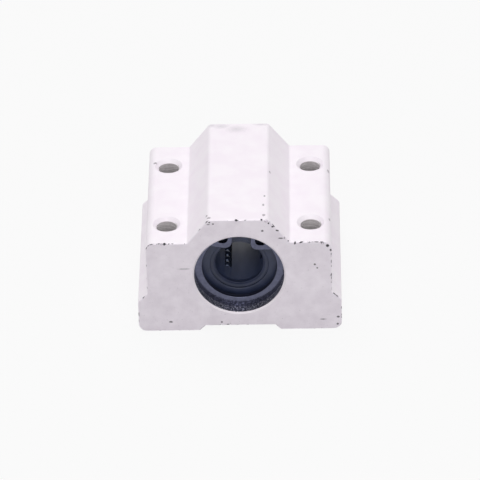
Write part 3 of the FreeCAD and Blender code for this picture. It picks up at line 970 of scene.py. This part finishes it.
def tint(tree, share, low, high, first, second):
    """Goes from the first colour to the second as the share passes from low to high."""
    step = add_node(tree, "ShaderNodeMapRange", inputs={0: share, 1: low, 2: high})
    mixed = add_node(
        tree, "ShaderNodeMix", {"data_type": "RGBA"}, {0: step.outputs[0], 6: first, 7: second}
    )
    return mixed.outputs[2]


def marks(tree, place, spots, fade=0.5):
    """White inside each mark of a list of (middle, half sizes) in mm, with torn outlines."""
    torn = add_node(
        tree,
        "ShaderNodeTexNoise",
        inputs={"Vector": place, "Scale": 1 / TEAR_LENGTH, "Detail": 3.0},
    )
    covered = 0.0
    for middle, half in spots:
        spot = add_node(
            tree,
            "ShaderNodeMapping",
            {"vector_type": "TEXTURE"},
            {
                "Vector": place,
                "Location": [value * MM for value in middle],
                "Scale": [value * MM for value in half],
            },
        )
        reach = add_node(tree, "ShaderNodeVectorMath", {"operation": "LENGTH"}, {0: spot.outputs[0]})
        ragged = add_node(
            tree,
            "ShaderNodeMath",
            {"operation": "ADD"},
            {0: reach.outputs["Value"], 1: torn.outputs["Fac"]},
        )
        inside = add_node(
            tree,
            "ShaderNodeMapRange",
            inputs={0: ragged.outputs[0], 1: MARK_REACH, 2: MARK_REACH - fade},
        )
        covered = add_node(
            tree, "ShaderNodeMath", {"operation": "MAXIMUM"}, {0: covered, 1: inside.outputs[0]}
        ).outputs[0]
    return covered


def blasted_anodised():
    """The extruded faces, glass-blasted and clear anodised."""
    # aluminium under a clear oxide: milky white, soft sheen, hardly any reflection
    material, tree, shader, place = new_finish(
        "blasted_anodised_aluminium", Metallic=0.2, Roughness=0.5
    )
    # blasting leaves pits of about 0.08 mm, drawn at 0.25 mm so that they show
    pits = grain(tree, place, 0.25 * MM)
    cloud = grain(tree, place, 3 * MM)
    # the die leaves faint lines along the extrusion, a few to the millimetre
    lines = grain(tree, place, 0.3 * MM, stretch=(1, 0.02, 1))
    base = tint(tree, cloud, 0.35, 0.65, colour("F8F0F8"), colour("FBF5FB"))
    smudged = marks(tree, place, TOP_SMUDGES, fade=1.2)
    base = tint(tree, smudged, 0.0, 1.0, base, colour("DFD9E0"))
    base = tint(tree, marks(tree, place, TOP_PITS), 0.0, 1.0, base, colour("B4AEB4"))
    tree.links.new(base, shader.inputs["Base Color"])
    drawn = add_node(
        tree, "ShaderNodeBump", inputs={"Height": lines, "Distance": 0.01 * MM, "Strength": 0.2}
    )
    blasted = add_node(
        tree,
        "ShaderNodeBump",
        inputs={
            "Height": pits,
            "Distance": 0.02 * MM,
            "Strength": 0.3,
            "Normal": drawn.outputs["Normal"],
        },
    )
    tree.links.new(blasted.outputs["Normal"], shader.inputs["Normal"])
    return material


def sawn_anodised():
    """Both ends, sawn, blasted and anodised with the rest."""
    # a duller, slightly darker grey-white than the extruded faces, blotchy where the saw ran; the darker tone is
    # partly the sawn surface and partly painted shade on the upright ends
    material, tree, shader, place = new_finish(
        "sawn_anodised_aluminium", Metallic=0.2, Roughness=0.6
    )
    cloud = grain(tree, place, 2 * MM, detail=4.0)
    pits = grain(tree, place, 0.3 * MM, detail=3.0)
    base = tint(tree, cloud, 0.3, 0.7, colour("E6DEE7"), colour("F2EBF3"))
    # grit left in the pits, 0.1 mm across, drawn at 0.3 mm so that it shows
    base = tint(tree, pits, 0.66, 0.74, base, colour("BEB7BF"))
    base = tint(tree, marks(tree, place, END_MARKS), 0.0, 1.0, base, colour("6E6A70"))
    tree.links.new(base, shader.inputs["Base Color"])
    bump = add_node(
        tree, "ShaderNodeBump", inputs={"Height": pits, "Distance": 0.03 * MM, "Strength": 0.4}
    )
    tree.links.new(bump.outputs["Normal"], shader.inputs["Normal"])
    return material


def torn_aluminium(name, painted_shade_share, painted_shade_colour):
    """Burr round the sawn ends, or the chips in it: the share and the colour of its painted shade."""
    # torn metal in its own bright colour on the ridges, with painted shade near black in its hollows
    material, tree, shader, place = new_finish(name, Metallic=0.4, Roughness=0.45)
    torn = grain(tree, place, 0.8 * MM, detail=4.0)
    base = tint(tree, torn, painted_shade_share - 0.05, painted_shade_share + 0.05, colour(painted_shade_colour), colour("EFE8F0"))
    tree.links.new(base, shader.inputs["Base Color"])
    bump = add_node(
        tree, "ShaderNodeBump", inputs={"Height": torn, "Distance": 0.05 * MM, "Strength": 0.6}
    )
    tree.links.new(bump.outputs["Normal"], shader.inputs["Normal"])
    return material


def turned_aluminium():
    """Bore and its ring grooves, turned after anodising."""
    # bare metal that mirrors the dark bore; its colour is painted near black as shade, with bright specks where
    # the tool tore it, which are painted glints
    material, tree, shader, place = new_finish("turned_aluminium", Metallic=0.6, Roughness=0.3)
    # the torn specks are about 0.05 mm across, drawn at 0.2 mm so that they show
    specks_and_glints = grain(tree, place, 0.2 * MM, detail=4.0)
    base = tint(tree, specks_and_glints, 0.5, 0.62, colour("3C3D48"), colour("DAD8E0"))
    tree.links.new(base, shader.inputs["Base Color"])
    bump = add_node(
        tree, "ShaderNodeBump", inputs={"Height": specks_and_glints, "Distance": 0.06 * MM, "Strength": 0.8}
    )
    tree.links.new(bump.outputs["Normal"], shader.inputs["Normal"])
    return material


def tapped_aluminium():
    """Threads of the screw holes, painted grey for the shade inside them."""
    # flat grey without gloss, which is painted shade for the inside of the holes
    material, tree, shader, place = new_finish("tapped_aluminium", Roughness=0.7)
    painted_shade_mottle = grain(tree, place, 0.5 * MM)
    base = tint(tree, painted_shade_mottle, 0.3, 0.7, colour("CCC8C9"), colour("D8D4D5"))
    tree.links.new(base, shader.inputs["Base Color"])
    return material


def blackened_steel():
    """Circlips: stamped spring steel, hardened, blackened and oiled."""
    # blue-black metal that still mirrors pale things softly in its oil
    material, tree, shader, place = new_finish(
        "blackened_spring_steel", Metallic=1.0, Roughness=0.15
    )
    scale = grain(tree, place, 0.6 * MM, detail=3.0)
    base = tint(tree, scale, 0.3, 0.7, colour("555769"), colour("626478"))
    tree.links.new(base, shader.inputs["Base Color"])
    bump = add_node(
        tree, "ShaderNodeBump", inputs={"Height": scale, "Distance": 0.02 * MM, "Strength": 0.3}
    )
    tree.links.new(bump.outputs["Normal"], shader.inputs["Normal"])
    return material


def moulded_nitrile():
    """Seals: moulded nitrile rubber, filled with carbon black."""
    # blue-black and satin, wiped a little shinier by oil
    material, tree, shader, place = new_finish("moulded_nitrile", Roughness=0.42, IOR=1.52)
    bloom = grain(tree, place, 1.5 * MM, detail=3.0)
    base = tint(tree, bloom, 0.3, 0.7, colour("222A42"), colour("2C3450"))
    tree.links.new(base, shader.inputs["Base Color"])
    return material


def moulded_acetal():
    """Cage: moulded black acetal resin in a film of grease."""
    # dark satin plastic; the grease over it mirrors the open ends of the bore more sharply
    material, tree, shader, place = new_finish(
        "moulded_acetal", Roughness=0.42, IOR=1.48, Coat_Weight=0.5, Coat_Roughness=0.18
    )
    flow = grain(tree, place, 2 * MM, stretch=(1, 0.3, 1))
    base = tint(tree, flow, 0.3, 0.7, colour("3A4566"), colour("445073"))
    tree.links.new(base, shader.inputs["Base Color"])
    return material


def lapped_steel():
    """Balls: lapped chrome steel in a film of grease, painted dark for the shade inside the bushing."""
    # a mirror painted dark blue-grey for the shade inside the bushing; its roughness dulls it and spreads its
    # highlights
    material, tree, shader, place = new_finish("lapped_chrome_steel", Metallic=0.6, Roughness=0.2)
    painted_shade_mottle = grain(tree, place, 0.5 * MM)
    base = tint(tree, painted_shade_mottle, 0.3, 0.7, colour("3A4358"), colour("4A5368"))
    tree.links.new(base, shader.inputs["Base Color"])
    return material


def ground_steel():
    """Sleeve and end rings: bearing steel, ground and oiled."""
    # cool grey metal with fine grinding lines round it
    material, tree, shader, place = new_finish("ground_bearing_steel", Metallic=1.0, Roughness=0.25)
    # grinding lines are a few micrometres apart, drawn at 0.15 mm so that they show
    lines = grain(tree, place, 0.15 * MM, stretch=(0.05, 1, 0.05))
    base = tint(tree, lines, 0.3, 0.7, colour("A8A9AE"), colour("BEBFC4"))
    tree.links.new(base, shader.inputs["Base Color"])
    bump = add_node(
        tree, "ShaderNodeBump", inputs={"Height": lines, "Distance": 0.01 * MM, "Strength": 0.2}
    )
    tree.links.new(bump.outputs["Normal"], shader.inputs["Normal"])
    return material


# ---------------------------------------------------------------- studio


def set_camera():
    """A long lens in front of the block, well above it and a little to its right."""
    level = math.cos(CAMERA_ELEVATION)
    back = Vector(
        (
            math.sin(CAMERA_AZIMUTH) * level,
            -math.cos(CAMERA_AZIMUTH) * level,
            math.sin(CAMERA_ELEVATION),
        )
    )
    eye = AXIS + back * CAMERA_DISTANCE
    roll = Quaternion((0, 0, 1), CAMERA_ROLL)
    turn = back.to_track_quat("Z", "Y") @ roll
    up = turn @ Vector((0, 1, 0))
    right = turn @ Vector((1, 0, 0))
    aim = AXIS - up * AIM_DROP + right * AIM_SHIFT
    camera = bpy.data.objects.new("camera", bpy.data.cameras.new("camera"))
    camera.data.sensor_width = CAMERA_FILM
    camera.data.lens = CAMERA_LENS
    camera.data.clip_start = CAMERA_NEAR
    camera.data.clip_end = CAMERA_FAR
    camera.location = eye
    camera.rotation_mode = "QUATERNION"
    camera.rotation_quaternion = (eye - aim).to_track_quat("Z", "Y") @ roll
    bpy.context.scene.collection.objects.link(camera)
    bpy.context.scene.camera = camera


def on_rays(tree, first, *others):
    """1 for rays of the kinds named, and 0 for the rest."""
    rays = add_node(tree, "ShaderNodeLightPath")
    seen = rays.outputs[first]
    for kind in others:
        either = {0: seen, 1: rays.outputs[kind]}
        seen = add_node(tree, "ShaderNodeMath", {"operation": "MAXIMUM"}, either).outputs[0]
    return seen


def set_world():
    """A white room, which lights the block half as brightly as it looks."""
    world = bpy.data.worlds.new("studio")
    world.use_nodes = True
    tree = world.node_tree
    background = tree.nodes["Background"]
    seen = on_rays(tree, "Is Camera Ray", "Is Glossy Ray", "Is Transmission Ray")
    strength = add_node(tree, "ShaderNodeMapRange", inputs={0: seen, 3: ROOM_LIGHT, 4: 1.0})
    tree.links.new(strength.outputs[0], background.inputs["Strength"])
    background.inputs["Color"].default_value = (1, 1, 1, 1)
    bpy.context.scene.world = world


def set_lamps():
    """A large soft box above and a little behind the block, and a weak one in front."""
    for name, place, size, watts in (
        ("top_softbox", (-0.05, 0.15, 0.6), 0.5, 1.3),
        ("front_softbox", (0.03, -0.41, 0.3), 0.25, 0.5),
    ):
        lamp = bpy.data.lights.new(name, "AREA")
        lamp.size = size
        lamp.energy = watts
        holder = bpy.data.objects.new(name, lamp)
        holder.location = place
        holder.rotation_euler = (holder.location - AXIS).to_track_quat("Z", "Y").to_euler()
        bpy.context.scene.collection.objects.link(holder)


def set_floor():
    """White paper under the block, which hardly shows the shadow that falls on it."""
    start_clean()
    bpy.ops.mesh.primitive_plane_add(size=FLOOR_WIDTH)
    floor = settle(bpy.context.active_object, "floor")
    material = bpy.data.materials.new("white_paper")
    material.use_nodes = True
    tree = material.node_tree
    shader = tree.nodes["Principled BSDF"]
    shader.inputs["Base Color"].default_value = colour("DCDCDC")
    shader.inputs["Roughness"].default_value = 1.0
    shader.inputs["Specular IOR Level"].default_value = 0.0
    seen = on_rays(tree, "Is Camera Ray", "Is Glossy Ray")
    share = add_node(tree, "ShaderNodeMapRange", inputs={0: seen, 4: FLOOR_WHITE})
    white = add_node(tree, "ShaderNodeEmission", inputs={"Color": (1, 1, 1, 1), "Strength": 1.0})
    mix = add_node(
        tree,
        "ShaderNodeMixShader",
        inputs={0: share.outputs[0], 1: shader.outputs[0], 2: white.outputs[0]},
    )
    tree.links.new(mix.outputs[0], tree.nodes["Material Output"].inputs["Surface"])
    floor.data.materials.append(material)


def fit(piece, body, slot, *nodes):
    """Puts a piece on its body in place of the solids that it stands for; slot is not used."""
    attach(piece, body)
    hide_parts(*nodes)


def main():
    """Sets up the studio, then builds every piece in place of its solids."""
    bpy.context.scene.view_settings.view_transform = "Standard"
    set_camera()
    set_world()
    set_lamps()
    set_floor()

    fit(make_block(), "housing", "block", "housing_block")
    clip_steel = blackened_steel()
    for node, turn in CLIP_TURNS.items():
        clip = finish(make_circlip(node, turn), clip_steel)
        fit(clip, "housing", "circlip", node)

    bearing_steel = ground_steel()
    fit(finish(make_sleeve(), bearing_steel), "bushing", "bearing_steel", "bearing_sleeve")
    for node in ("front_end_ring", "rear_end_ring"):
        finish(frame["nodes"][node], bearing_steel)
    rubber = moulded_nitrile()
    for node in ("front_seal", "rear_seal"):
        fit(finish(make_seal(node), rubber), "bushing", "seal", node)
    fit(finish(make_cage(), moulded_acetal()), "bushing", "cage", "ball_cage")
    lapped = lapped_steel()
    for node in sorted(frame["nodes"]):
        if "_ball" in node:
            fit(finish(make_balls(node), lapped), "bushing", "balls", node)


main()
